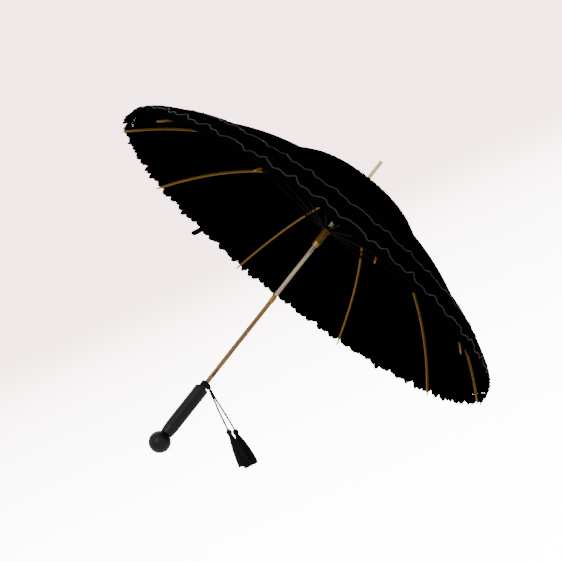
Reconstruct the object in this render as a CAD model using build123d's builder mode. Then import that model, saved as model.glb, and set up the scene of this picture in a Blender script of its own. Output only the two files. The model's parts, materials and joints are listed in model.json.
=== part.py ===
from build123d import *
import os
from math import asin, cos, hypot, radians, sin, sqrt, tan

os.makedirs("parts", exist_ok=True)

# A folding lace parasol, open. Lengths are millimetres and angles degrees.
# It is drawn with its shaft along Z and the centre of the handle's ball at Z 0, then leaned
# into the stance in which it is carried: held at the middle of the grip, tassels hanging plumb.
shaft_rise = 24.3  # from the level to the shaft
grip_middle = 70.0  # the hand's place, which becomes the origin

# Handle
ball_radius = 20.0
ball_seat = 18.5  # flat on top of the ball
tenon_radius = 4.0
tenon_length = 12.0
grip_radius = 12.8
grip_neck_radius = 11.2
grip_neck_length = 15.0
grip_top = 123.0
grip_bore_floor = 44.0
grip_edge = 2.0

# Shaft
lower_shaft_radius = 4.3
upper_shaft_radius = 3.6
shaft_joint = 328.0  # where the two halves meet
joint_ferrule_length = 14.0
joint_ferrule_wall = 0.7
joint_ferrule_edge = 0.4
shaft_above_notch = 11.5
spike_tenon_radius = 2.4
spike_tenon_length = 40.0
spike_radius = 3.6
spike_straight = 40.0  # of one thickness, below the rounded end
spike_shoulder = 0.6  # how much wider the spike's foot is
spike_end = 1.5
spike_length = 65.0

# Dome: the cloth's inner face is part of a sphere
rib_count = 10
first_rib = 18.0  # from straight down
rib_pitch = 360 / rib_count
dome_radius = 560.0
cloth_gap = 0.15
sheet = 0.8
panel_gap = 0.3
panel_start = 17.2
hem_radius = 413.0
flounce_overhang = 17.0  # past the end of the dome
lobes_per_panel = 3
lobe_depth = 6.0
# Reach from the shaft, and height above the dome
crown_frill = [(30, 8), (62, 16), (88, 19), (108, 16), (128, 10), (148, 2)]
# Reach back from the hem, and height above the dome
rim_flounce = [(91, 7), (63, 13), (33, 20), (11, 26), (3, 22), (0.6, 10)]
flounce_start = 108.0  # back from the hem

# Ribs and their fittings
rib_width = 3.0
rib_depth = 3.6
rib_end_gap = 2.0  # from the rib's end to the dome's
rib_eye_width = 2.2
rib_eye_radius = 1.9
rib_eye_reach = 22.0  # the rib is thinned up to here
tip_radius = 1.7
tip_length = 15.0
tip_point = 5.0
rivet_radius = 0.9
rivet_head_radius = 1.8
rivet_head = 0.6

# The linkage: the hinges at the notch and at the runner share one pivot circle
fold_angle = 60.0  # each rib's swing from open to closed
joint_reach = 215.5  # from the shaft's axis to the stretcher's rivet
pivot_depth = 3.2  # from the runner's bore to the pivot circle
slot_play = 0.4
slot_floor_play = 0.3
ring_margin = 2.2
ring_half_height = 2.8
notch_wire_radius = 0.6
runner_wire_radius = 0.5
wire_play = 0.25
groove_play = 0.05

# Stretchers
stretcher_rod = 2.4
stretcher_eye_width = 1.7
stretcher_eye_radius = 1.5
stretcher_eye_length = 8.0
fork_length = 14.0
fork_web = 3.0
fork_play = 0.25
fork_cheek = 1.15
fork_radius = 1.8
fork_hole_play = 0.1
head_play = 0.05

# Runner
runner_play = 0.2  # round the joint ferrule, which it passes
runner_wall = 1.7
runner_mouth_wall = 0.7
runner_mouth_length = 6.0
runner_length = 35.3
window_rise = 11.5  # from the runner's mouth
window_height = 9.0
window_width = 3.0

# Crown cap
cap_gap = 1.2  # from the cap's rim to the cloth
cap_rim = 1.0
cap_collar = 3.0
cap_collar_height = 1.5

# Catches
catch_length = 14.0
catch_width = 1.4
catch_thickness = 1.4
catch_back = 0.2  # from the shaft's axis
catch_knuckle = 1.1
catch_hook = 1.0
catch_bend = 5.0  # from the knuckle to where the spring leaves the wood
catch_inside = 0.4  # how deep it lies there
catch_slot_width = 1.8
catch_slot_end = 2.0
catch_slot_depth = 2.0  # past the axis
bottom_catch_reach = 2.2  # how far the hook stands out of the wood
top_catch_reach = 2.8
bottom_catch_play = 2.0  # from the closed runner's window to the hook
top_catch_gap = 3.0  # from the hook to the open runner

# Knot, cords and tassels
knot_wrap = 2.6
knot_height = 14.0
knot_turns = 3
knot_core = 0.5  # under the turns
knot_lump_radius = 5.5
knot_lump_gap = 5.7  # from the shaft's face to the lump's centre
closed_gap = 1.5  # from the knot to the closed runner
cord_radius = 1.7
tassel_head_radius = 5.4
tassel_neck_radius = 3.9
tassel_head_top = 4.0  # depths below the end of the cord
tassel_head_low = 8.0
tassel_neck_top = 12.0
tassel_neck_low = 15.0
tassel_length = 74.0
tassel_1_radius = 11.0  # at the foot of the skirt
tassel_2_radius = 14.0
tassel_skirt = [(30, 0.62), (52, 0.88)]  # depth, and share of the skirt's radius

# Closing strap
strap_panel = 3
strap_turn = 16.0
strap_sewn = 11.0  # of its length, back from the end of the dome
strap_length = 36.0
strap_width = 12.0

# Worked out from the sizes above, outwards from the shaft
joint_ferrule_radius = lower_shaft_radius + joint_ferrule_wall
runner_bore = joint_ferrule_radius + runner_play
runner_radius = runner_bore + runner_wall
pivot_radius = runner_bore + pivot_depth
ring_radius = pivot_radius + ring_margin
panel_end = hem_radius - flounce_overhang
rib_end = panel_end - rib_end_gap
rib_line = dome_radius - cloth_gap - rib_depth / 2

# The stretcher is as long as the rib's part above the rivet
stretcher_drop = sqrt(rib_line**2 - pivot_radius**2) - sqrt(rib_line**2 - joint_reach**2)
stretcher_length = hypot(joint_reach - pivot_radius, stretcher_drop)
open_angle = asin(stretcher_drop / stretcher_length)
closed_angle = open_angle + radians(fold_angle)
runner_travel = 2 * stretcher_length * (sin(closed_angle) - sin(open_angle))

catch_axis = catch_back + catch_thickness / 2

# Heights, from the closed runner on the knot up to the spike
closed_bottom = grip_top + knot_height + closed_gap
bottom_catch_hinge = closed_bottom + window_rise + bottom_catch_play + catch_length
runner_bottom = closed_bottom + runner_travel
top_catch_hinge = runner_bottom - top_catch_gap - catch_length
crown_bottom = runner_bottom + runner_length
runner_height = crown_bottom + ring_half_height
joint_height = runner_height + stretcher_drop
notch_height = joint_height + stretcher_drop
dome_centre = notch_height - sqrt(rib_line**2 - pivot_radius**2)
shaft_top = notch_height + shaft_above_notch
spike_top = shaft_top + spike_length

leaned = Location((0, 0, 0), (0, 90 - shaft_rise, 0))
stance = leaned * Location((0, 0, -grip_middle))


def save(piece, name, place=stance):
    """Label a finished piece, put it in its place and write it."""
    placed = piece.moved(place)
    placed.label = name
    export_step(placed, f"parts/{name}.step")


def turned(number):
    """The stance of the numbered rib and of all that rides on it."""
    return stance * Location((0, 0, 0), (0, 0, first_rib + (number - 1) * rib_pitch))


def on_dome(radius, reach):
    """A point of a circle about the dome's centre, in the plane of a rib."""
    return (reach, dome_centre + sqrt(radius**2 - reach**2))


def at_angle(radius, angle):
    """A point of such a circle, at an angle from the shaft."""
    return (radius * sin(angle), dome_centre + radius * cos(angle))


def dome_band(inner, outer, start, end):
    """The face between two such circles, cut square at both reaches."""
    low = asin(2 * start / (inner + outer))
    high = asin(2 * end / (inner + outer))
    middle = (low + high) / 2
    with BuildLine() as band:
        ThreePointArc(at_angle(outer, low), at_angle(outer, middle), at_angle(outer, high))
        Line(at_angle(outer, high), at_angle(inner, high))
        ThreePointArc(at_angle(inner, high), at_angle(inner, middle), at_angle(inner, low))
        Line(at_angle(inner, low), at_angle(outer, low))
    make_face(band.edges())


# ---- Handle ----
with BuildPart() as ball:
    with BuildSketch(Plane.XZ):
        with BuildLine():
            seat_radius = sqrt(ball_radius**2 - ball_seat**2)
            ThreePointArc((0, -ball_radius), (ball_radius, 0), (seat_radius, ball_seat))
            Line((seat_radius, ball_seat), (tenon_radius, ball_seat))
            Line((tenon_radius, ball_seat), (tenon_radius, ball_seat + tenon_length))
            Line((tenon_radius, ball_seat + tenon_length), (0, ball_seat + tenon_length))
            Line((0, ball_seat + tenon_length), (0, -ball_radius))
        make_face()
    revolve(axis=Axis.Z)
save(ball.part, "ball")

with BuildPart() as grip:
    with BuildSketch(Plane.XZ):
        with BuildLine():
            Polyline(
                (tenon_radius, ball_seat),
                (grip_neck_radius, ball_seat),
                (grip_radius, ball_seat + grip_neck_length),
                (grip_radius, grip_top - grip_edge),
                (grip_radius - grip_edge, grip_top),
                (lower_shaft_radius, grip_top),
                (lower_shaft_radius, grip_bore_floor),
                (tenon_radius, grip_bore_floor),
                close=True,
            )
        make_face()
    revolve(axis=Axis.Z)
save(grip.part, "grip")

# ---- Shaft ----
# Each catch works in a slot on the side towards -Y.
with BuildPart() as lower_shaft:
    with BuildSketch(Plane.XY.offset(grip_bore_floor)):
        Circle(lower_shaft_radius)
    extrude(amount=shaft_joint - grip_bore_floor)
    with BuildSketch(Plane.XY.offset(bottom_catch_hinge - catch_length - catch_slot_end)):
        with Locations((0, catch_slot_depth - lower_shaft_radius)):
            Rectangle(catch_slot_width, 2 * lower_shaft_radius)
    extrude(amount=catch_length + 2 * catch_slot_end, mode=Mode.SUBTRACT)
save(lower_shaft.part, "lower_shaft")

with BuildPart() as upper_shaft:
    with BuildSketch(Plane.XY.offset(shaft_joint)):
        Circle(upper_shaft_radius)
    extrude(amount=shaft_top - shaft_joint)
    with BuildSketch(Plane.XY.offset(shaft_top)):
        Circle(spike_tenon_radius)
    extrude(amount=spike_tenon_length)
    with BuildSketch(Plane.XY.offset(top_catch_hinge - catch_slot_end)):
        with Locations((0, catch_slot_depth - upper_shaft_radius)):
            Rectangle(catch_slot_width, 2 * upper_shaft_radius)
    extrude(amount=catch_length + 2 * catch_slot_end, mode=Mode.SUBTRACT)
save(upper_shaft.part, "upper_shaft")

with BuildPart() as joint_ferrule:
    with BuildSketch(Plane.XZ):
        with BuildLine():
            half = joint_ferrule_length / 2
            Polyline(
                (lower_shaft_radius, shaft_joint - half),
                (joint_ferrule_radius - joint_ferrule_edge, shaft_joint - half),
                (joint_ferrule_radius, shaft_joint - half + 1),
                (joint_ferrule_radius, shaft_joint + half - 1),
                (joint_ferrule_radius - joint_ferrule_edge, shaft_joint + half),
                (upper_shaft_radius, shaft_joint + half),
                (upper_shaft_radius, shaft_joint),
                (lower_shaft_radius, shaft_joint),
                close=True,
            )
        make_face()
    revolve(axis=Axis.Z)
save(joint_ferrule.part, "joint_ferrule")

with BuildPart() as tip_ferrule:
    with BuildSketch(Plane.XZ):
        with BuildLine():
            straight_top = spike_top - spike_end
            straight_low = straight_top - spike_straight
            Polyline(
                (spike_tenon_radius, shaft_top),
                (spike_radius + spike_shoulder, shaft_top),
                (spike_radius + spike_shoulder, straight_low - spike_shoulder),
                (spike_radius, straight_low),
                (spike_radius, straight_top),
                (spike_radius - spike_end, spike_top),
                (0, spike_top),
                (0, shaft_top + spike_tenon_length),
                (spike_tenon_radius, shaft_top + spike_tenon_length),
                close=True,
            )
        make_face()
    revolve(axis=Axis.Z)
save(tip_ferrule.part, "tip_ferrule")


# ---- Slotted rings, their wires and the runner ----
def slotted_ring(height, bore, eye_radius, eye_width, wire_radius):
    """A ring with one slot for each eye and a groove for the wire through them."""
    slot_floor = pivot_radius - eye_radius - slot_floor_play
    slot_length = ring_radius - slot_floor + 1
    with BuildPart() as ring:
        with BuildSketch(Plane.XY.offset(height - ring_half_height)):
            Circle(ring_radius)
            Circle(bore, mode=Mode.SUBTRACT)
        extrude(amount=2 * ring_half_height)
        with BuildSketch(Plane.XY.offset(height - ring_half_height)):
            with PolarLocations(slot_floor + slot_length / 2, rib_count, start_angle=first_rib):
                Rectangle(slot_length, eye_width + slot_play)
        extrude(amount=2 * ring_half_height, mode=Mode.SUBTRACT)
        with BuildSketch(Plane.XZ):
            groove = wire_radius + groove_play
            with Locations((pivot_radius - groove, height)):
                Rectangle(ring_margin + 1 + groove, 2 * groove, align=(Align.MIN, Align.CENTER))
        revolve(axis=Axis.Z, mode=Mode.SUBTRACT)
    return ring.part


def wire_ring(height, wire_radius):
    """The closed wire that the eyes hang on."""
    with BuildPart() as wire:
        with BuildSketch(Plane.XZ):
            with Locations((pivot_radius, height)):
                Circle(wire_radius)
        revolve(axis=Axis.Z)
    return wire.part


save(
    slotted_ring(notch_height, upper_shaft_radius, rib_eye_radius, rib_eye_width, notch_wire_radius),
    "notch",
)
save(wire_ring(notch_height, notch_wire_radius), "notch_wire")
save(
    slotted_ring(
        runner_height, runner_bore, stretcher_eye_radius, stretcher_eye_width, runner_wire_radius
    ),
    "runner_crown",
)
save(wire_ring(runner_height, runner_wire_radius), "runner_wire")

with BuildPart() as runner_tube:
    with BuildSketch(Plane.XZ):
        with BuildLine():
            Polyline(
                (runner_bore, runner_bottom),
                (runner_bore + runner_mouth_wall, runner_bottom),
                (runner_radius, runner_bottom + runner_mouth_length),
                (runner_radius, crown_bottom),
                (runner_bore, crown_bottom),
                close=True,
            )
        make_face()
    revolve(axis=Axis.Z)
    with BuildSketch(Plane.XY.offset(runner_bottom + window_rise)):
        with Locations((0, -runner_radius)):
            Rectangle(window_width, runner_radius)
    extrude(amount=window_height, mode=Mode.SUBTRACT)
save(runner_tube.part, "runner_tube")

with BuildPart() as crown_cap:
    with BuildSketch(Plane.XZ):
        with BuildLine():
            cap_bottom = notch_height + ring_half_height
            Polyline(
                (upper_shaft_radius, cap_bottom),
                (panel_start - cap_gap, cap_bottom),
                (panel_start - cap_gap, cap_bottom + cap_rim),
                (upper_shaft_radius + cap_collar, shaft_top - cap_collar_height),
                (upper_shaft_radius + cap_collar, shaft_top),
                (upper_shaft_radius, shaft_top),
                close=True,
            )
        make_face()
    revolve(axis=Axis.Z)
save(crown_cap.part, "crown_cap")


# ---- Catches: a flat spring with a hook, which turns on the knuckle at one end of its slot ----
def catch(hinge, surface, reach, way):
    """The hook's end lies a catch length above (way 1) or below (way -1) the knuckle."""
    with BuildPart() as spring:
        with BuildSketch(Plane.YZ):
            with BuildLine():
                Polyline(
                    (-catch_back, hinge),
                    (-catch_back - catch_thickness, hinge),
                    (catch_inside - surface, hinge + way * catch_bend),
                    (-surface - reach, hinge + way * (catch_length - catch_hook)),
                    (-surface - reach, hinge + way * catch_length),
                    (-catch_back - catch_thickness, hinge + way * catch_length),
                    (-catch_axis, hinge + way * (catch_length + catch_hook) / 2),
                    close=True,
                )
            make_face()
            with Locations((-catch_axis, hinge)):
                Circle(catch_knuckle)
        extrude(amount=catch_width / 2, both=True)
    return spring.part


save(catch(bottom_catch_hinge, lower_shaft_radius, bottom_catch_reach, -1), "bottom_catch")
save(catch(top_catch_hinge, upper_shaft_radius, top_catch_reach, 1), "top_catch")

# ---- Rib, with an eye at the notch and a hole for the stretcher's rivet ----
with BuildPart() as rib:
    with BuildSketch(Plane.XZ):
        dome_band(rib_line - rib_depth / 2, rib_line + rib_depth / 2, rib_eye_reach, rib_end)
    extrude(amount=rib_width / 2, both=True)
    with BuildSketch(Plane.XZ):
        dome_band(
            rib_line - rib_depth / 2, rib_line + rib_depth / 2, pivot_radius, rib_eye_reach + 1
        )
        with Locations((pivot_radius, notch_height)):
            Circle(rib_eye_radius)
    extrude(amount=rib_eye_width / 2, both=True)
    with BuildSketch(Plane.XZ):
        with Locations((pivot_radius, notch_height)):
            Circle(notch_wire_radius + wire_play)
        with Locations((joint_reach, joint_height)):
            Circle(rivet_radius)
    extrude(amount=rib_width, both=True, mode=Mode.SUBTRACT)

# ---- Rib fittings: the end piece and the rivet ----
cheek_face = rib_width / 2 + fork_play + fork_cheek
rib_slope = asin(rib_end / rib_line)
end_reach, end_height = on_dome(rib_line, rib_end)
end_plane = Plane(
    origin=(end_reach, 0, end_height),
    x_dir=(cos(rib_slope), 0, -sin(rib_slope)),
    z_dir=(0, -1, 0),
)
with BuildPart() as rib_fittings:
    with BuildSketch(end_plane):
        with BuildLine():
            Polyline(
                (0, 0),
                (0, tip_radius),
                (tip_length - tip_point, tip_radius),
                (tip_length, tip_radius / 3),
                (tip_length, 0),
                close=True,
            )
        make_face()
    revolve(axis=Axis(end_plane.origin, end_plane.x_dir))
    with BuildSketch(Plane.XZ):
        with Locations((joint_reach, joint_height)):
            Circle(rivet_radius)
    extrude(amount=cheek_face + head_play + rivet_head, both=True)
    for side in (-1, 1):
        with BuildSketch(Plane.XZ.offset(side * (cheek_face + head_play))):
            with Locations((joint_reach, joint_height)):
                Circle(rivet_head_radius)
        extrude(amount=side * rivet_head)

# ---- Stretcher: an eye on the runner's wire, a rod and a fork round the rib ----
stretcher_plane = Plane(
    origin=(pivot_radius, 0, runner_height),
    x_dir=(joint_reach - pivot_radius, 0, stretcher_drop),
    z_dir=(0, -1, 0),
)
fork_start = stretcher_length - fork_length
with BuildPart() as stretcher:
    with BuildSketch(stretcher_plane):
        Circle(stretcher_eye_radius)
        Rectangle(
            stretcher_eye_length, 2 * stretcher_eye_radius, align=(Align.MIN, Align.CENTER)
        )
    extrude(amount=stretcher_eye_width / 2, both=True)
    with BuildSketch(stretcher_plane):
        with Locations((stretcher_eye_length - 2, 0)):
            Rectangle(
                fork_start - stretcher_eye_length + 3, stretcher_rod, align=(Align.MIN, Align.CENTER)
            )
    extrude(amount=stretcher_rod / 2, both=True)
    with BuildSketch(stretcher_plane):
        with Locations((fork_start, 0)):
            Rectangle(fork_length, 2 * fork_radius, align=(Align.MIN, Align.CENTER))
        with Locations((stretcher_length, 0)):
            Circle(fork_radius)
    extrude(amount=cheek_face, both=True)
    with BuildSketch(stretcher_plane):
        with Locations((fork_start + fork_web, 0)):
            Rectangle(fork_length, 4 * fork_radius, align=(Align.MIN, Align.CENTER))
    extrude(amount=rib_width / 2 + fork_play, both=True, mode=Mode.SUBTRACT)
    with BuildSketch(stretcher_plane):
        Circle(runner_wire_radius + wire_play)
        with Locations((stretcher_length, 0)):
            Circle(rivet_radius + fork_hole_play)
    extrude(amount=2 * cheek_face, both=True, mode=Mode.SUBTRACT)


# ---- Canopy panel: one gore on each rib, with its share of the frill and of the flounce ----
def above_dome(reach, lift):
    """A point that stands proud of the cloth's outer face."""
    x, z = on_dome(dome_radius + sheet, reach)
    return (x, z + lift)


def on_hem(angle, radius):
    """A point of the scalloped rim, seen along the shaft."""
    return (radius * cos(radians(angle)), radius * sin(radians(angle)))


with BuildPart() as canopy_panel:
    with BuildSketch(Plane.XZ):
        dome_band(dome_radius, dome_radius + sheet, panel_start, panel_end)
        with BuildLine():  # crown frill
            Polyline(
                above_dome(panel_start + sheet, -sheet / 2),
                *(above_dome(reach, lift) for reach, lift in crown_frill),
            )
        trace(line_width=sheet)
        with BuildLine():  # rim flounce
            Polyline(
                above_dome(hem_radius - flounce_start, -sheet / 2),
                *(above_dome(hem_radius - back, lift) for back, lift in rim_flounce),
            )
        trace(line_width=sheet)
    revolve(axis=Axis.Z)
    with BuildSketch():
        with BuildLine():
            lobe = rib_pitch / lobes_per_panel
            cusp = hem_radius - lobe_depth
            Line((0, 0), on_hem(-rib_pitch / 2, cusp))
            for number in range(lobes_per_panel):
                start = number * lobe - rib_pitch / 2
                ThreePointArc(
                    on_hem(start, cusp), on_hem(start + lobe / 2, hem_radius), on_hem(start + lobe, cusp)
                )
            Line(on_hem(rib_pitch / 2, cusp), (0, 0))
        make_face()
        for side in (-1, 1):
            with Locations(Location((0, 0, 0), (0, 0, side * rib_pitch / 2))):
                Rectangle(2 * hem_radius, panel_gap, mode=Mode.SUBTRACT)
    extrude(amount=spike_top, mode=Mode.INTERSECT)

for number in range(1, rib_count + 1):
    save(rib.part, f"rib_{number}", turned(number))
    save(rib_fittings.part, f"rib_fittings_{number}", turned(number))
    save(stretcher.part, f"stretcher_{number}", turned(number))
    save(canopy_panel.part, f"canopy_panel_{number}", turned(number))

# ---- Closing strap: a ribbon sewn under the hem of one panel ----
strap_start = panel_end - strap_sewn
strap_slope = asin(strap_start / dome_radius)
strap_reach, strap_height = on_dome(dome_radius - 2 * cloth_gap, strap_start)
strap_plane = Plane(
    origin=(strap_reach, 0, strap_height),
    x_dir=(cos(strap_slope), 0, -sin(strap_slope)),
    z_dir=(-sin(strap_slope), 0, -cos(strap_slope)),
)
with BuildPart() as closing_strap:
    with BuildSketch(strap_plane):
        Rectangle(strap_length, strap_width, align=(Align.MIN, Align.CENTER))
        with Locations((strap_length, 0)):
            Circle(strap_width / 2)
    extrude(amount=sheet)
save(closing_strap.part, "closing_strap", turned(strap_panel) * Location((0, 0, 0), (0, 0, strap_turn)))

# ---- Tassel knot: cord wound three times round the shaft, with the knot on its low side ----
with BuildPart() as tassel_knot:
    with BuildSketch(Plane.XZ):
        with Locations((lower_shaft_radius, grip_top)):
            Rectangle(knot_wrap + knot_core, knot_height, align=(Align.MIN, Align.MIN))
        for number in range(knot_turns):
            rise = knot_wrap + number * (knot_height - 2 * knot_wrap) / (knot_turns - 1)
            with Locations((lower_shaft_radius + knot_core + knot_wrap, grip_top + rise)):
                Circle(knot_wrap)
    revolve(axis=Axis.Z)
    with Locations((lower_shaft_radius + knot_lump_gap, 0, grip_top + knot_height / 2)):
        Sphere(knot_lump_radius)
    with BuildSketch(Plane.XY.offset(grip_top)):
        Circle(lower_shaft_radius)
    extrude(amount=knot_height, mode=Mode.SUBTRACT)
save(tassel_knot.part, "tassel_knot")


# ---- Cords, which hang plumb, so they and the tassels are drawn where they hang ----
def cord(name, points):
    """A tube of straight runs joined by arcs as large as the runs allow."""
    radii = []
    for before, here, after in zip(points, points[1:], points[2:]):
        first = Vector(*here) - Vector(*before)
        second = Vector(*after) - Vector(*here)
        shorter = min(first.length, second.length)
        radii.append(0.45 * shorter / tan(radians(first.get_angle(second) / 2)))
    with BuildPart() as tube:
        with BuildLine() as route:
            FilletPolyline(*points, radius=radii)
        with BuildSketch(Plane(origin=route.line @ 0, z_dir=route.line % 0)):
            Circle(cord_radius)
        sweep()
    length = round(route.wire().length, 1)
    print(name, "arc radii", [round(radius) for radius in radii], "length", length)
    save(tube.part, name, Location((0, 0, 0)))


cord_1_points = [
    (57.6, -1.8, 12.0),
    (57.2, -3.4, -6.0),
    (55.9, -5.6, -27.0),
    (55.2, -8.6, -49.0),
    (55.0, -10.8, -64.0),
]
cord_2_points = [
    (60.4, 1.8, 12.0),
    (61.9, 2.8, -8.0),
    (65.6, 5.4, -32.0),
    (69.0, 7.8, -56.0),
    (70.6, 9.4, -73.0),
]
cord("cord_1", cord_1_points)
cord("cord_2", cord_2_points)


def tassel(name, top, skirt_radius):
    """A bound head and a skirt of threads, hanging from the end of its cord."""
    with BuildPart() as hung:
        with BuildSketch(Plane.XZ):
            with BuildLine():
                Polyline(
                    (0, cord_radius),
                    (2 * cord_radius, 0),
                    (tassel_head_radius, -tassel_head_top),
                    (tassel_head_radius, -tassel_head_low),
                    (tassel_neck_radius, -tassel_neck_top),
                    (tassel_neck_radius, -tassel_neck_low),
                    *((skirt_radius * share, -depth) for depth, share in tassel_skirt),
                    (skirt_radius, -tassel_length),
                    (0, -tassel_length),
                    close=True,
                )
            make_face()
        revolve(axis=Axis.Z)
    save(hung.part, name, Location(top))


tassel("tassel_1", cord_1_points[-1], tassel_1_radius)
tassel("tassel_2", cord_2_points[-1], tassel_2_radius)
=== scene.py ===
import bpy
import json
import random
from math import asin, cos, pi, radians, sin, sqrt, tau
from mathutils import Matrix, Vector


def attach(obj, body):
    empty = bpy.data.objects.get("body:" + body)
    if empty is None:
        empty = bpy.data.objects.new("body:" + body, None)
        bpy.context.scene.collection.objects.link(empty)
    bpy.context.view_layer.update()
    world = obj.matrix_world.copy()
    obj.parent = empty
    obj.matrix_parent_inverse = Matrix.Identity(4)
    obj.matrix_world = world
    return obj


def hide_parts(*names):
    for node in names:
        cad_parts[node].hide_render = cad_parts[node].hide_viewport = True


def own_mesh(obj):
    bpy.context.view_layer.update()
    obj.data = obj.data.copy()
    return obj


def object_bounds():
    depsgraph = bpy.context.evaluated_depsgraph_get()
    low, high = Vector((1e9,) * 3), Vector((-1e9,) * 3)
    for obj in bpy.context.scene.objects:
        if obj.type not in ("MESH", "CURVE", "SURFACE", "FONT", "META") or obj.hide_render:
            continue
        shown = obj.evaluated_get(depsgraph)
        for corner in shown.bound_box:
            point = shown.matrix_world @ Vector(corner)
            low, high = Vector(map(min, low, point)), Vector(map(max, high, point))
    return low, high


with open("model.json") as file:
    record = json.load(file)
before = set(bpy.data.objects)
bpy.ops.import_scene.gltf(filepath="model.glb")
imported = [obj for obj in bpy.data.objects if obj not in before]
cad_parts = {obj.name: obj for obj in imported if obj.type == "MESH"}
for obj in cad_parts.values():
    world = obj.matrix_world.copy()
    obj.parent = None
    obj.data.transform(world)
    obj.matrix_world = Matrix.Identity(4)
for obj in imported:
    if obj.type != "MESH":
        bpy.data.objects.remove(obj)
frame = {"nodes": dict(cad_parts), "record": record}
cadLow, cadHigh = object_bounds()
mounts = {m["name"]: m for m in frame["record"]["mounts"]}
shaftAxis = Vector(mounts["grip_hold"]["axis"]).normalized()
outOfShaft = Vector((shaftAxis.z, 0, -shaftAxis.x))  # straight down, square to the shaft
gripToBall = 0.070

# Turns the shaft's own frame (down, across, along, from the ball) into the part's frame
stance = Matrix((outOfShaft, (0, 1, 0), shaftAxis)).transposed().to_4x4()
stance.translation = shaftAxis * -gripToBall


def clearSelection():
    if bpy.context.mode != "OBJECT":
        bpy.ops.object.mode_set(mode="OBJECT")
    bpy.ops.object.select_all(action="DESELECT")


def makeActive(piece):
    clearSelection()
    piece.select_set(True)
    bpy.context.view_layer.objects.active = piece


def applyModifier(piece, kind, **settings):
    makeActive(piece)
    modifier = piece.modifiers.new(kind.title(), kind)
    for key, value in settings.items():
        setattr(modifier, key, value)
    bpy.ops.object.modifier_apply(modifier=modifier.name)


def settle(piece):
    makeActive(piece)
    bpy.ops.object.transform_apply(location=True, rotation=True, scale=True)


def smooth(piece, degrees):
    makeActive(piece)
    bpy.ops.object.shade_smooth_by_angle(angle=radians(degrees))


# ---- Camera ----
shot = {
    "azimuth": 74.2,  # which way it looks, from +X towards +Y
    "down": 7.22,
    "roll": 25.0,
    "distance": 4.0,
    "lens": 142.3,
    "clipEnd": 60,
    "ballAt": (-0.2149, -0.2850, -0.064),  # right, up and away from the middle of the view
}


def addCamera():
    a, b, r = (radians(shot[k]) for k in ("azimuth", "down", "roll"))
    look = Vector((cos(a) * cos(b), sin(a) * cos(b), -sin(b)))
    right = look.cross(Vector((0, 0, 1))).normalized()
    up = right.cross(look)
    right, up = right * cos(r) - up * sin(r), right * sin(r) + up * cos(r)
    ballX, ballY, ballZ = shot["ballAt"]
    ball = shaftAxis * -gripToBall
    middle = ball - right * ballX - up * ballY - look * ballZ
    bpy.ops.object.camera_add()
    camera = bpy.context.object
    camera.name = "camera"
    turn = Matrix((right, up, -look)).transposed().to_4x4()
    camera.matrix_world = Matrix.Translation(middle - look * shot["distance"]) @ turn
    camera.data.lens = shot["lens"]
    camera.data.clip_end = shot["clipEnd"]
    bpy.context.scene.camera = camera
    return look


look = addCamera()
print("camera placed")


# ---- Node groups and materials ----
def socketsOf(tree, inputs, outputs):
    for name, kind, value in inputs:
        socket = tree.interface.new_socket(name, in_out="INPUT", socket_type=kind)
        socket.default_value = value
    for name, kind in outputs:
        tree.interface.new_socket(name, in_out="OUTPUT", socket_type=kind)
    return tree.nodes.new("NodeGroupInput"), tree.nodes.new("NodeGroupOutput")


def put(tree, kind, inputs=(), **settings):
    node = tree.nodes.new(kind)
    for key, value in settings.items():
        setattr(node, key, value)
    for key, value in dict(inputs).items():
        if isinstance(value, bpy.types.NodeSocket):
            tree.links.new(value, node.inputs[key])
        else:
            node.inputs[key].default_value = value
    return node


def mathNode(tree, operation, a, b=0.0):
    return put(tree, "ShaderNodeMath", {0: a, 1: b}, operation=operation).outputs[0]


def ramp(tree, value, low, high, toLow=0.0, toHigh=1.0):
    node = put(tree, "ShaderNodeMapRange", {"Value": value, "From Min": low, "From Max": high,
                                            "To Min": toLow, "To Max": toHigh})
    return node.outputs["Result"]


def blendColours(tree, share, first, second):
    node = put(tree, "ShaderNodeMix", {0: share}, data_type="RGBA")
    for slot, value in ((6, first), (7, second)):
        if isinstance(value, bpy.types.NodeSocket):
            tree.links.new(value, node.inputs[slot])
        else:
            node.inputs[slot].default_value = (*value, 1)
    return node.outputs[2]


def streaksGroup():
    tree = bpy.data.node_groups.new("streaksAlongShaft", "ShaderNodeTree")
    start, end = socketsOf(tree, [("Across", "NodeSocketFloat", 900.0), ("Along", "NodeSocketFloat", 20.0)],
                           [("Streaks", "NodeSocketFloat"), ("Blotches", "NodeSocketFloat")])
    place = put(tree, "ShaderNodeTexCoord").outputs["Object"]
    turned = put(tree, "ShaderNodeMapping", {"Vector": place, "Rotation": (0, -asin(shaftAxis.x), 0)})
    size = put(tree, "ShaderNodeCombineXYZ",
               {"X": start.outputs[0], "Y": start.outputs[0], "Z": start.outputs[1]})
    stretched = put(tree, "ShaderNodeVectorMath", {0: turned.outputs[0], 1: size.outputs[0]},
                    operation="MULTIPLY")
    fine = put(tree, "ShaderNodeTexNoise", {"Vector": stretched.outputs[0], "Scale": 1.0, "Detail": 6.0,
                                           "Roughness": 0.6})
    broad = put(tree, "ShaderNodeTexNoise", {"Vector": place, "Scale": 70.0, "Detail": 4.0})
    tree.links.new(fine.outputs[0], end.inputs[0])
    tree.links.new(broad.outputs[0], end.inputs[1])
    return tree


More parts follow.
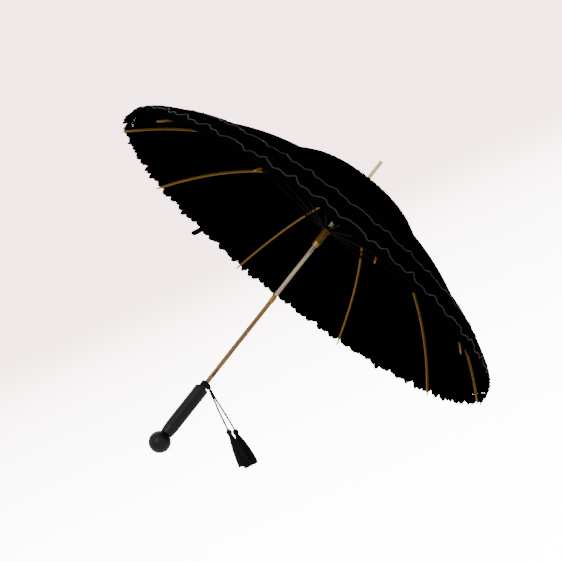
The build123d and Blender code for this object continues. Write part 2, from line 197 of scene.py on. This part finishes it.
def laceGroup():
    tree = bpy.data.node_groups.new("laceWork", "ShaderNodeTree")
    start, end = socketsOf(
        tree,
        [("Cells Across", "NodeSocketFloat", 26.0), ("Cells Along", "NodeSocketFloat", 40.0),
         ("Border", "NodeSocketFloat", 0.93), ("Edge", "NodeSocketFloat", 0.985)],
        [("Thread", "NodeSocketFloat"), ("Cover", "NodeSocketFloat"), ("Braid", "NodeSocketFloat")],
    )
    uvPlace = put(tree, "ShaderNodeUVMap", uv_map="UVMap").outputs[0]
    size = put(tree, "ShaderNodeCombineXYZ", {"X": start.outputs[0], "Y": start.outputs[1], "Z": 1.0})
    cells = put(tree, "ShaderNodeVectorMath", {0: uvPlace, 1: size.outputs[0]},
                operation="MULTIPLY").outputs[0]
    flowers = put(tree, "ShaderNodeTexVoronoi", {"Vector": cells, "Scale": 0.32},
                  feature="F1").outputs["Distance"]
    petals = put(tree, "ShaderNodeTexVoronoi", {"Vector": cells, "Scale": 1.3},
                 feature="DISTANCE_TO_EDGE").outputs[0]
    net = put(tree, "ShaderNodeTexVoronoi", {"Vector": cells, "Scale": 3.4, "Randomness": 0.25},
              feature="DISTANCE_TO_EDGE").outputs[0]
    petalThread = ramp(tree, petals, 0.16, 0.04)
    netThread = ramp(tree, net, 0.22, 0.08)
    flower = ramp(tree, flowers, 0.42, 0.30)
    raised = mathNode(tree, "MAXIMUM", petalThread, flower)
    thread = mathNode(tree, "MAXIMUM", raised, mathNode(tree, "MULTIPLY", netThread, 0.6))
    parts = put(tree, "ShaderNodeSeparateXYZ", {0: uvPlace})
    alongCell = mathNode(tree, "FRACT", mathNode(tree, "MULTIPLY", parts.outputs[1], start.outputs[1]))
    acrossCell = mathNode(tree, "FRACT", mathNode(tree, "MULTIPLY", parts.outputs[0], start.outputs[0]))
    dx = mathNode(tree, "SUBTRACT", acrossCell, 0.5)
    dy = mathNode(tree, "SUBTRACT", alongCell, 0.5)
    squares = mathNode(tree, "ADD", mathNode(tree, "MULTIPLY", dx, dx), mathNode(tree, "MULTIPLY", dy, dy))
    far = mathNode(tree, "SQRT", squares)
    eyelet = mathNode(tree, "LESS_THAN", far, 0.2)  # a small round hole in each cell of the border
    inBorder = mathNode(tree, "GREATER_THAN", parts.outputs[1], start.outputs[2])
    braid = mathNode(tree, "GREATER_THAN", parts.outputs[1], start.outputs[3])
    beforeBraid = mathNode(tree, "MULTIPLY", inBorder, mathNode(tree, "SUBTRACT", 1.0, braid))
    hole = mathNode(tree, "MULTIPLY", eyelet, beforeBraid)
    tree.links.new(thread, end.inputs[0])
    tree.links.new(mathNode(tree, "SUBTRACT", 1.0, hole), end.inputs[1])
    tree.links.new(braid, end.inputs[2])
    return tree


streaks, laceWork = streaksGroup(), laceGroup()


def material(name, roughness, **fixed):
    made = bpy.data.materials.new(name)
    made.use_nodes = True
    tree = made.node_tree
    shader = tree.nodes["Principled BSDF"]
    shader.inputs["Roughness"].default_value = roughness
    for key, value in fixed.items():
        shader.inputs[key.replace("_", " ")].default_value = value
    return made, tree, shader


def bump(tree, shader, height, strength, distance):
    node = put(tree, "ShaderNodeBump", {"Height": height, "Strength": strength, "Distance": distance})
    tree.links.new(node.outputs[0], shader.inputs["Normal"])


def grained(name, dark, pale, blotch, across, along, roughness, depth=0.00015, **fixed):
    made, tree, shader = material(name, roughness, **fixed)
    grain = put(tree, "ShaderNodeGroup", node_tree=streaks)
    grain.inputs["Across"].default_value = across
    grain.inputs["Along"].default_value = along
    share = ramp(tree, grain.outputs["Streaks"], 0.35, 0.65)
    colour = blendColours(tree, share, dark, pale)
    patch = ramp(tree, grain.outputs["Blotches"], 0.52, 0.72)
    tree.links.new(blendColours(tree, patch, colour, blotch), shader.inputs["Base Color"])
    tree.links.new(ramp(tree, grain.outputs["Streaks"], 0.3, 0.7, roughness - 0.07, roughness + 0.1),
                   shader.inputs["Roughness"])
    bump(tree, shader, grain.outputs["Streaks"], 0.35, depth)
    return made


def laceMaterial(name, across, along, border, edge, braidColour):
    made, tree, shader = material(name, 0.95, Specular_IOR_Level=0.0)
    lace = put(tree, "ShaderNodeGroup", node_tree=laceWork)
    for key, value in (("Cells Across", across), ("Cells Along", along), ("Border", border), ("Edge", edge)):
        lace.inputs[key].default_value = value
    ground = blendColours(tree, lace.outputs["Thread"], (0.0003, 0.0003, 0.0003), (0.0012, 0.0012, 0.0013))
    colour = blendColours(tree, lace.outputs["Braid"], ground, braidColour)
    tree.links.new(colour, shader.inputs["Base Color"])
    tree.links.new(lace.outputs["Cover"], shader.inputs["Alpha"])
    bump(tree, shader, lace.outputs["Thread"], 0.6, 0.0006)
    return made


def threadMaterial(name, dark, pale, scale, roughness, depth):
    made, tree, shader = material(name, roughness, Sheen_Weight=0.02, Sheen_Roughness=0.4,
                                  Specular_IOR_Level=0.2)
    place = put(tree, "ShaderNodeTexCoord").outputs["Object"]
    wave = put(tree, "ShaderNodeTexWave", {"Vector": place, "Scale": scale, "Distortion": 2.0, "Detail": 2.0},
               bands_direction="DIAGONAL").outputs[1]
    tree.links.new(blendColours(tree, wave, dark, pale), shader.inputs["Base Color"])
    bump(tree, shader, wave, 0.7, depth)
    return made


materials = {
    "handle": grained("darkHandleWood", (0.0018, 0.0022, 0.0018), (0.0040, 0.0046, 0.0038),
                      (0.0034, 0.0031, 0.0025), 500, 9, 0.42, Specular_IOR_Level=0.22, Coat_Weight=0.04,
                      Coat_Roughness=0.3),
    "lowerShaft": grained("streakedShaft", (0.06, 0.021, 0.002), (0.42, 0.215, 0.03), (0.19, 0.08, 0.010),
                          700, 16, 0.34, Coat_Weight=0.12, Coat_Roughness=0.2),
    "upperShaft": grained("paleShaft", (0.36, 0.27, 0.17), (0.74, 0.63, 0.46), (0.50, 0.38, 0.24),
                          700, 12, 0.32, Coat_Weight=0.3, Coat_Roughness=0.2),
    "rib": grained("ochreRib", (0.13, 0.058, 0.004), (0.25, 0.125, 0.012), (0.18, 0.088, 0.008),
                   600, 300, 0.45, Specular_IOR_Level=0.2),
    "gilt": grained("giltSleeve", (0.36, 0.18, 0.03), (0.62, 0.36, 0.08), (0.42, 0.22, 0.04),
                    900, 40, 0.30, 0.00006, Metallic=0.85),
    "paleBrass": grained("paleBrass", (0.66, 0.52, 0.15), (0.90, 0.78, 0.34), (0.58, 0.42, 0.10),
                         900, 30, 0.24, 0.00005, Metallic=0.85),
    "blackWire": grained("japannedWire", (0.0008, 0.0008, 0.0008), (0.0025, 0.0025, 0.0025),
                         (0.004, 0.003, 0.002), 800, 300, 0.65, 0.00005, Specular_IOR_Level=0.08),
    "spring": grained("springSteel", (0.08, 0.07, 0.06), (0.18, 0.16, 0.14), (0.10, 0.06, 0.03),
                      900, 200, 0.35, 0.00005, Metallic=0.9),
    "cord": threadMaterial("twistedCord", (0.0008, 0.0008, 0.0008), (0.003, 0.003, 0.003), 260, 0.7, 0.0004),
    "tassel": threadMaterial("tasselThread", (0.0008, 0.0008, 0.0008), (0.0025, 0.0025, 0.0026),
                             400, 0.65, 0.0003),
    # the grey of these hem cords is a painted highlight, standing for light along the hem edges
    "highlightPiping": threadMaterial("paintedHighlightPiping", (0.016, 0.016, 0.017), (0.034, 0.034, 0.036), 500, 0.6, 0.0002),
    "gore": laceMaterial("laceGore", 48, 76, 1.1, 0.988, (0.0012, 0.0012, 0.0012)),
    "flounce": laceMaterial("laceFlounce", 52, 23, 0.91, 0.957, (0.0012, 0.0012, 0.0012)),
    "frill": laceMaterial("laceFrill", 24, 30, 1.1, 0.965, (0.0012, 0.0012, 0.0012)),
}


tipReach = 0.3  # how far from the shaft the ochre end pieces start, past the black rivets


def fittingMaterial():
    made, tree, shader = material("ribFitting", 0.4, Specular_IOR_Level=0.3)
    place = put(tree, "ShaderNodeTexCoord").outputs["Object"]
    crossed = put(tree, "ShaderNodeVectorMath", {0: place, 1: tuple(shaftAxis)},
                  operation="CROSS_PRODUCT").outputs[0]
    reach = put(tree, "ShaderNodeVectorMath", {0: crossed}, operation="LENGTH").outputs["Value"]
    grain = put(tree, "ShaderNodeGroup", node_tree=streaks)
    ochre = blendColours(tree, grain.outputs["Streaks"], (0.13, 0.055, 0.006), (0.36, 0.20, 0.045))
    atTip = mathNode(tree, "GREATER_THAN", reach, tipReach)
    tree.links.new(blendColours(tree, atTip, (0.0015, 0.0015, 0.0015), ochre), shader.inputs["Base Color"])
    bump(tree, shader, grain.outputs["Streaks"], 0.3, 0.0001)
    return made


materials["fitting"] = fittingMaterial()


def cover(piece, name):
    piece.data.materials.clear()
    piece.data.materials.append(materials[name])


finishes = {
    "handle": ["ball", "grip"],
    "lowerShaft": ["lower_shaft"],
    "upperShaft": ["upper_shaft"],
    "gilt": ["joint_ferrule", "runner_tube"],
    "fitting": [f"rib_fittings_{n}" for n in range(1, 11)],
    "paleBrass": ["tip_ferrule"],
    "rib": [f"rib_{n}" for n in range(1, 11)],
    "blackWire": ["notch", "runner_crown", "crown_cap"] + [f"stretcher_{n}" for n in range(1, 11)],
    "spring": ["notch_wire", "runner_wire", "top_catch", "bottom_catch"],
}
for finish, names in finishes.items():
    for name in names:
        node = frame["nodes"][name]
        if len(node.material_slots) == 0:
            node.data.materials.append(materials[finish])
        for part in node.material_slots:
            part.material = materials[finish]
print("materials made")


# ---- Cords: they leave the knot and run down into the tassels ----
cords = {
    "diameter": 0.0034,
    "cord_1": [(0.0576, -0.0018, 0.012), (0.0572, -0.0034, -0.006), (0.0559, -0.0056, -0.027),
               (0.0552, -0.0086, -0.049), (0.0550, -0.0108, -0.064), (0.0550, -0.0108, -0.084)],
    "cord_2": [(0.0604, 0.0018, 0.012), (0.0619, 0.0028, -0.008), (0.0656, 0.0054, -0.032),
               (0.0690, 0.0078, -0.056), (0.0706, 0.0094, -0.073), (0.0706, 0.0094, -0.093)],
    "lengths": {"cord_1": 0.0965, "cord_2": 0.106},
    "tasselPoint": 4,  # the point of each route where the tassel's head starts
}


def hangCord(name):
    route = cords[name]
    curve = bpy.data.curves.new(name + "_line", "CURVE")
    curve.dimensions = "3D"
    line = curve.splines.new("NURBS")
    line.points.add(len(route) - 1)
    for point, place in zip(line.points, route):
        point.co = (*place, 1)
        point.radius = 1
    line.order_u = 3
    line.use_endpoint_u = True
    line.resolution_u = 12
    curve.bevel_depth = cords["diameter"] / 2
    curve.bevel_resolution = 4
    curve.use_fill_caps = True
    piece = bpy.data.objects.new("hanging_" + name, curve)
    bpy.context.collection.objects.link(piece)
    curve.materials.append(materials["cord"])
    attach(piece, "shaft")
    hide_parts(name)
    return piece


hangingCords = {name: hangCord(name) for name in ("cord_1", "cord_2")}
print("cords hung")


# ---- Bundles of thread, drawn as thick lines and turned into a mesh ----
def threads(name, lines, thickness, sides=1):
    curve = bpy.data.curves.new(name, "CURVE")
    curve.dimensions = "3D"
    for route in lines:
        line = curve.splines.new("NURBS")
        line.points.add(len(route) - 1)
        for point, place in zip(line.points, route):
            point.co = (*place[:3], 1)
            point.radius = place[3] if len(place) > 3 else 1
        line.order_u = 3
        line.use_endpoint_u = True
        line.resolution_u = 3
    curve.bevel_depth = thickness / 2
    curve.bevel_resolution = sides
    curve.use_fill_caps = True
    piece = bpy.data.objects.new(name, curve)
    bpy.context.collection.objects.link(piece)
    makeActive(piece)
    bpy.ops.object.convert(target="MESH")
    return bpy.context.object


def joined(name, parts):
    clearSelection()
    for part in parts:
        part.select_set(True)
    bpy.context.view_layer.objects.active = parts[0]
    bpy.ops.object.join()
    piece = bpy.context.object
    piece.name = name
    settle(piece)
    return piece


tassel = {
    "threads": 130,
    "threadThickness": 0.0019,
    "length": 0.073,
    "headRadius": 0.0052,
    "headDepth": 0.0058,
    "headStretch": (1.22, 1.05),  # below and above its middle
    "flutes": (16, 0.045),  # how many, and how deep as a share
    "fromHead": 0.008,  # where the threads start, inside the head
    "spread": 2.39996,  # the golden angle, so that the threads fill the skirt evenly
    "neck": (0.0034, 0.0135),  # radius and depth
    "binding": (4, 0.0011, 0.0002, 0.00062),  # turns, spacing, unevenness and half thickness
    "eye": (0.0004, 0.0016, 0.0008),  # depth, radius and half thickness
    "profile": [(0.0135, 0.28), (0.026, 0.55), (0.042, 0.80), (0.057, 0.93), (0.073, 1.0)],
    "skirts": {"tassel_1": 0.0108, "tassel_2": 0.0138},
}


def makeTassel(name, top):
    rng = random.Random(name)
    skirt = tassel["skirts"][name]
    lines = []
    for number in range(tassel["threads"]):
        layer = sqrt((number + 0.5) / tassel["threads"])
        angle = number * tassel["spread"] + rng.uniform(-0.1, 0.1)
        wander = rng.uniform(-0.12, 0.12)
        reach = tassel["length"] * rng.uniform(0.955, 1.0)
        route = [(top[0], top[1], top[2] - tassel["fromHead"], 0.5)]
        for depth, share in tassel["profile"]:
            radius = skirt * share * layer
            turn = angle + wander * depth / tassel["length"]
            route.append((top[0] + radius * cos(turn), top[1] + radius * sin(turn),
                          top[2] - min(depth, reach), 1.0))
        lines.append(route)
    skirtPiece = threads(name + "_skirt", lines, tassel["threadThickness"])
    bpy.ops.mesh.primitive_uv_sphere_add(segments=32, ring_count=20, radius=tassel["headRadius"],
                                         location=(top[0], top[1], top[2] - tassel["headDepth"]))
    head = bpy.context.object
    below, above = tassel["headStretch"]
    flutes, fluteDepth = tassel["flutes"]
    for vertex in head.data.vertices:
        stretch = below if vertex.co.z < 0 else above
        around = Vector((vertex.co.x, vertex.co.y)).angle_signed(Vector((1, 0)), 0)
        flute = 1 + fluteDepth * cos(flutes * around)
        vertex.co = (vertex.co.x * flute, vertex.co.y * flute, vertex.co.z * stretch)
    rings = []
    neckRadius, neckDepth = tassel["neck"]
    turns, spacing, uneven, halfThickness = tassel["binding"]
    for number in range(turns):
        bpy.ops.mesh.primitive_torus_add(
            location=(top[0], top[1], top[2] - neckDepth + spacing * (number - 1)),
            major_radius=neckRadius + uneven * (number % 2), minor_radius=halfThickness,
            major_segments=28, minor_segments=8)
        rings.append(bpy.context.object)
    eyeDepth, eyeRadius, eyeHalf = tassel["eye"]
    bpy.ops.mesh.primitive_torus_add(location=(top[0], top[1], top[2] - eyeDepth), major_radius=eyeRadius,
                                     minor_radius=eyeHalf, major_segments=20, minor_segments=8)
    rings.append(bpy.context.object)
    piece = joined("hanging_" + name, [skirtPiece, head, *rings])
    smooth(piece, 60)
    cover(piece, "tassel")
    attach(piece, "shaft")
    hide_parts(name)
    return piece


def tasselTop(cordName):
    return cords[cordName][cords["tasselPoint"]]


tassels = {n: makeTassel(n, tasselTop(c)) for n, c in (("tassel_1", "cord_1"), ("tassel_2", "cord_2"))}
for number in (1, 2):
    name = f"cord_{number}"
print("tassels made")

# ---- Knot: the cord wound round the shaft, and the bow's lump under it ----
knot = {
    "low": 0.1236, "high": 0.1364, "inset": 0.0012,
    "shaftRadius": 0.0043, "thickness": 0.0026, "turns": 4, "steps": 14,
    "layerStep": 0.8,  # how far apart the two layers lie, in cord thicknesses
    "lumpOut": 0.0104, "lumpHalf": (0.0032, 0.0034), "lumpSpacing": 0.0008,
}


def makeKnot():
    radius = knot["shaftRadius"] + knot["thickness"] / 2
    lines = []
    for layer in range(2):
        route = []
        count = knot["turns"] * knot["steps"]
        ends = (knot["low"] + knot["inset"], knot["high"] - knot["inset"])
        for step in range(count + 1):
            turn = tau * step / knot["steps"] + layer
            height = ends[0] + (ends[1] - ends[0]) * step / count
            reach = radius + layer * knot["thickness"] * knot["layerStep"]
            route.append(stance @ Vector((reach * cos(turn), reach * sin(turn), height)))
        lines.append([tuple(p) for p in route])
    centre = (knot["low"] + knot["high"]) / 2
    lumpOut, (halfOut, halfAcross) = knot["lumpOut"], knot["lumpHalf"]
    for loop in range(3):
        route = []
        for step in range(13):
            turn = tau * step / 12 + loop
            tilt = loop * pi / 3
            x = lumpOut + halfOut * sin(turn) * cos(tilt)
            y = halfAcross * cos(turn)
            z = centre + halfOut * sin(turn) * sin(tilt) + knot["lumpSpacing"] * (loop - 1)
            route.append(tuple(stance @ Vector((x, y, z))))
        lines.append(route)
    piece = threads("cord_knot", lines, knot["thickness"], sides=3)
    settle(piece)
    smooth(piece, 60)
    cover(piece, "cord")
    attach(piece, "shaft")
    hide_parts("tassel_knot")


makeKnot()
print("knot wound")

# ---- Canopy: lace gores, a gathered flounce at the rim and a frill at the crown ----
canopy = {
    "ribs": 10,
    "firstRib": 18.0,
    "pitch": 36.0,
    "domeRadius": 0.5605,
    "domeCentre": 0.020546,
    "cloth": 0.0008,
    "lobes": 4,
    "picots": 57,
    "picot": 0.0007,
    "lobeCurve": 0.7,
    "scallopCurve": 0.6,
    "edgeFrom": 0.8,  # the share of a cloth's length where its scallops start
    "edgeBand": 0.2,
    "keepFolded": 0.2,
}
gore = {
    "across": 108, "along": 40, "start": 0.0178, "end": 0.3955, "sag": 0.0022,
    "lobe": 0.003, "scallops": 12, "scallop": 0.0045, "puckers": 11, "pucker": 0.0005,
}
flounce = {
    "across": 216, "along": 24,
    "profile": [(0.0, -0.0002), (0.157, 0.0070), (0.417, 0.0130), (0.694, 0.0200), (0.898, 0.0255),
                (0.972, 0.0225), (1.0, 0.0120)],
    "start": 0.305, "end": 0.4135,
    "lobe": 0.0035, "scallops": 19, "scallop": 0.0052, "gathers": 9, "depth": 0.0020,
}
frill = {
    "across": 108, "along": 16,
    "profile": [(0.0, 0.0002), (0.09, 0.0078), (0.34, 0.0158), (0.54, 0.0186), (0.69, 0.0160),
                (0.845, 0.0102), (1.0, 0.0026)],
    "start": 0.0185, "end": 0.148,
    "lobe": 0.001, "scallops": 9, "scallop": 0.0030, "gathers": 5, "depth": 0.0009,
}


def ribTurn(number):
    return stance @ Matrix.Rotation(radians(canopy["firstRib"] + (number - 1) * canopy["pitch"]), 4, "Z")


def liftAt(profile, share):
    for (a, x), (b, y) in zip(profile, profile[1:]):
        if share <= b:
            t = (share - a) / (b - a)
            return x + (y - x) * t * t * (3 - 2 * t) if a == 0 else x + (y - x) * t
    return profile[-1][1]


def edgeReach(sizes, turn, share, heights):
    lobe = sizes["lobe"] * (1 - abs(sin(pi * canopy["lobes"] * (turn + 0.5))) ** canopy["lobeCurve"])
    place = sizes["scallops"] * (turn + 0.5)
    height = heights[min(int(place), sizes["scallops"] - 1)]
    scallop = sizes["scallop"] * (1 - height * abs(sin(pi * place)) ** canopy["scallopCurve"])
    picot = canopy["picot"] * (1 - abs(sin(pi * canopy["picots"] * (turn + 0.5))))
    fade = max(0.0, (share - canopy["edgeFrom"]) / canopy["edgeBand"])
    return lobe * share ** 3 + (scallop + picot) * fade


def gathers(sizes, turn, share, phases):
    n = sizes["gathers"]
    inner = cos(pi * turn) ** 2
    wave = sin(tau * n * turn) + inner * (0.5 * sin(tau * (n + 3) * turn + phases[0])
                                          + 0.4 * sin(tau * (2 * n - 1) * turn + phases[1]))
    return sizes["depth"] * wave * share ** 0.8


def dome(reach, lift):
    return canopy["domeCentre"] + sqrt(canopy["domeRadius"] ** 2 - reach ** 2) + lift


def layCloth(name, number, sizes, liftOf, finish):
    clearSelection()
    bpy.ops.mesh.primitive_grid_add(x_subdivisions=sizes["across"], y_subdivisions=sizes["along"], size=1)
    piece = bpy.context.object
    piece.name = f"{name}_{number}"
    turned = ribTurn(number)
    rng = random.Random(f"{name}{number}")
    heights = [rng.uniform(0.25, 1.0) for _ in range(sizes["scallops"])]
    for vertex in piece.data.vertices:
        turn, share = vertex.co.x, vertex.co.y + 0.5
        whole = sizes["start"] + (sizes["end"] - sizes["start"]) * share
        reach = whole - edgeReach(sizes, turn, share, heights)
        angle = radians(canopy["pitch"]) * turn
        height = dome(reach, liftOf(turn, share))
        vertex.co = turned @ Vector((reach * cos(angle), reach * sin(angle), height))
    piece.data.update()
    makeActive(piece)
    bpy.ops.object.mode_set(mode="EDIT")
    bpy.ops.mesh.select_all(action="SELECT")
    bpy.ops.mesh.normals_make_consistent(inside=False)
    bpy.ops.object.mode_set(mode="OBJECT")
    middle = piece.data.polygons[len(piece.data.polygons) // 2]
    if middle.normal.dot(turned.to_3x3() @ Vector((0, 0, 1))) < 0:
        piece.data.flip_normals()
    applyModifier(piece, "SOLIDIFY", thickness=canopy["cloth"], offset=0.0)
    settle(piece)
    smooth(piece, 50)
    cover(piece, finish)
    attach(piece, f"rib_{number}")
    return piece


def foldWith(piece):
    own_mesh(piece)


# Grey cords along the hem lines of the flounce and the dome: their pale grey over the black lace is a painted
# highlight of the hem edges
highlightPiping = {
    "lines": ((0.4085, 0.0055), (0.3560, 0.0125)),  # how far out each line runs, and how deep its lobes are
    "lobeCurve": 0.8, "thickness": 0.0019, "proud": 0.0012, "steps": 72,
}


# Draws the grey hem cords of one panel, a painted highlight along the hem edges
def layHighlightPiping(number, liftOf):
    turned = ribTurn(number)
    lines = []
    for start, lobe in highlightPiping["lines"]:
        route = []
        for step in range(highlightPiping["steps"] + 1):
            turn = step / highlightPiping["steps"] - 0.5
            wave = abs(sin(pi * canopy["lobes"] * (turn + 0.5))) ** highlightPiping["lobeCurve"]
            reach = start - lobe * (1 - wave)
            share = (reach - flounce["start"]) / (flounce["end"] - flounce["start"])
            angle = radians(canopy["pitch"]) * turn
            height = dome(reach, liftOf(turn, share) + highlightPiping["proud"])
            route.append(tuple(turned @ Vector((reach * cos(angle), reach * sin(angle), height))))
        lines.append(route)
    piece = threads(f"scallop_highlight_piping_{number}", lines, highlightPiping["thickness"])
    settle(piece)
    smooth(piece, 60)
    cover(piece, "highlightPiping")
    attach(piece, f"rib_{number}")
    return piece


def makeCanopy():
    for number in range(1, canopy["ribs"] + 1):
        rng = random.Random(number)
        phases = [rng.uniform(0, tau) for _ in range(4)]

        def goreLift(turn, share):
            slack = gore["sag"] * (1 - cos(tau * turn)) / 2 * sin(pi * share) ** 0.5
            ripple = sin(tau * gore["puckers"] * turn + phases[2])
            pucker = gore["pucker"] * ripple * cos(pi * turn) ** 2 * share
            return -slack + pucker

        def flounceLift(turn, share):
            return liftAt(flounce["profile"], share) + gathers(flounce, turn, share, phases)

        def frillLift(turn, share):
            return liftAt(frill["profile"], share) + gathers(frill, turn, share, phases[1:])

        main = layCloth("lace_gore", number, gore, goreLift, "gore")
        rim = layCloth("rim_flounce", number, flounce, flounceLift, "flounce")
        crown = layCloth("crown_frill", number, frill, frillLift, "frill")
        for piece in (main, rim, crown):
            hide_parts(f"canopy_panel_{number}")
        # grey hem cords: painted highlight along the hem edges
        sewn = layHighlightPiping(number, flounceLift)
        for piece in (main, rim, crown, sewn):
            foldWith(piece)


makeCanopy()
print("canopy laid")

# ---- Closing strap: a ribbon with a bound edge under the hem ----
strap = {
    "rib": 3, "turn": 16.0, "start": 0.385, "length": 0.0415, "width": 0.0116, "thickness": 0.0009,
    "roundFrom": 0.86, "roundBand": 0.14, "tipWidth": 0.08, "tipGrowth": 0.92,  # as shares
    "curl": 0.0010, "cup": 0.0004, "edge": 0.0002,
}


def makeStrap():
    clearSelection()
    bpy.ops.mesh.primitive_grid_add(x_subdivisions=24, y_subdivisions=10, size=1)
    piece = bpy.context.object
    piece.name = "ribbon_strap"
    turned = ribTurn(strap["rib"]) @ Matrix.Rotation(radians(strap["turn"]), 4, "Z")
    slope = asin(strap["start"] / canopy["domeRadius"])
    outward = Vector((cos(slope), 0, -sin(slope)))
    under = Vector((-sin(slope), 0, -cos(slope)))
    root = Vector((strap["start"], 0, dome(strap["start"], -0.0012)))
    for vertex in piece.data.vertices:
        far, side = vertex.co.x + 0.5, vertex.co.y * 2
        half = strap["width"] / 2
        past = max(0.0, (far - strap["roundFrom"]) / strap["roundBand"])
        rounding = sqrt(max(0.0, 1 - past ** 2)) * strap["tipGrowth"] + strap["tipWidth"]
        curl = strap["curl"] * sin(3 * far) + strap["cup"] * side * side
        sideways = Vector((0, side * half * rounding, 0))
        vertex.co = turned @ (root + outward * (far * strap["length"]) + sideways + under * curl)
    piece.data.update()
    applyModifier(piece, "SOLIDIFY", thickness=strap["thickness"], offset=0.0)
    applyModifier(piece, "BEVEL", width=strap["edge"], segments=2)
    settle(piece)
    smooth(piece, 50)
    cover(piece, "frill")
    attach(piece, f"rib_{strap['rib']}")
    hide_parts("closing_strap")
    foldWith(piece)


makeStrap()
print("strap sewn")

# ---- Studio: seamless pale paper and soft light ----
studio = {
    "floorDrop": 1.3,
    "floorSize": 60,
    "nearPaper": (3.0, 2.95, 2.95),
    "farPaper": (1.0, 0.70, 0.71),
    "glow": 5.5,  # how bright the paper looks behind the object
    "fade": (3.5, 16.0),  # from white to pale pink, in metres along the view
    "daylight": 1.0,
    "lights": [((-2.2, -2.6, 2.6), 1.8, 60), ((2.6, -2.2, 1.6), 1.6, 30), ((0.6, 2.6, 2.2), 2.0, 35)],
}


def litPaper(tree, lit, place, output):
    depth = put(tree, "ShaderNodeVectorMath", {0: place, 1: tuple(look)},
                operation="DOT_PRODUCT").outputs["Value"]
    share = ramp(tree, depth, *studio["fade"])
    colour = blendColours(tree, share, studio["nearPaper"], studio["farPaper"])
    glow = put(tree, "ShaderNodeEmission", {"Color": colour, "Strength": studio["glow"]}).outputs[0]
    seen = put(tree, "ShaderNodeLightPath").outputs["Is Camera Ray"]
    mixed = put(tree, "ShaderNodeMixShader", {0: seen, 1: lit, 2: glow}).outputs[0]
    tree.links.new(mixed, output)


def makeStudio():
    clearSelection()
    bpy.ops.mesh.primitive_plane_add(size=studio["floorSize"],
                                     location=(0, 0, cadLow.z - studio["floorDrop"]))
    floor = bpy.context.object
    floor.name = "paper_floor"
    settle(floor)
    paper, tree, shader = material("paper", 0.9)
    shader.inputs["Base Color"].default_value = (0.9, 0.86, 0.86, 1)
    place = put(tree, "ShaderNodeTexCoord").outputs["Object"]
    litPaper(tree, shader.outputs[0], place, tree.nodes["Material Output"].inputs["Surface"])
    floor.data.materials.append(paper)
    world = bpy.data.worlds.new("studioWorld")
    bpy.context.scene.world = world
    world.use_nodes = True
    tree = world.node_tree
    back = tree.nodes["Background"]
    back.inputs["Color"].default_value = (1.0, 0.975, 0.975, 1)
    back.inputs["Strength"].default_value = studio["daylight"]
    seen = put(tree, "ShaderNodeLightPath").outputs["Is Camera Ray"]
    wall = put(tree, "ShaderNodeBackground",
               {"Color": (*studio["farPaper"], 1), "Strength": studio["glow"]}).outputs[0]
    mixed = put(tree, "ShaderNodeMixShader", {0: seen, 1: back.outputs[0], 2: wall}).outputs[0]
    tree.links.new(mixed, tree.nodes["World Output"].inputs["Surface"])
    middle = (cadLow + cadHigh) / 2
    for place, size, power in studio["lights"]:
        bpy.ops.object.light_add(type="AREA", location=middle + Vector(place))
        light = bpy.context.object
        light.data.size = size
        light.data.energy = power
        light.rotation_euler = (middle - light.location).to_track_quat("-Z", "Y").to_euler()


makeStudio()
print("studio lit")
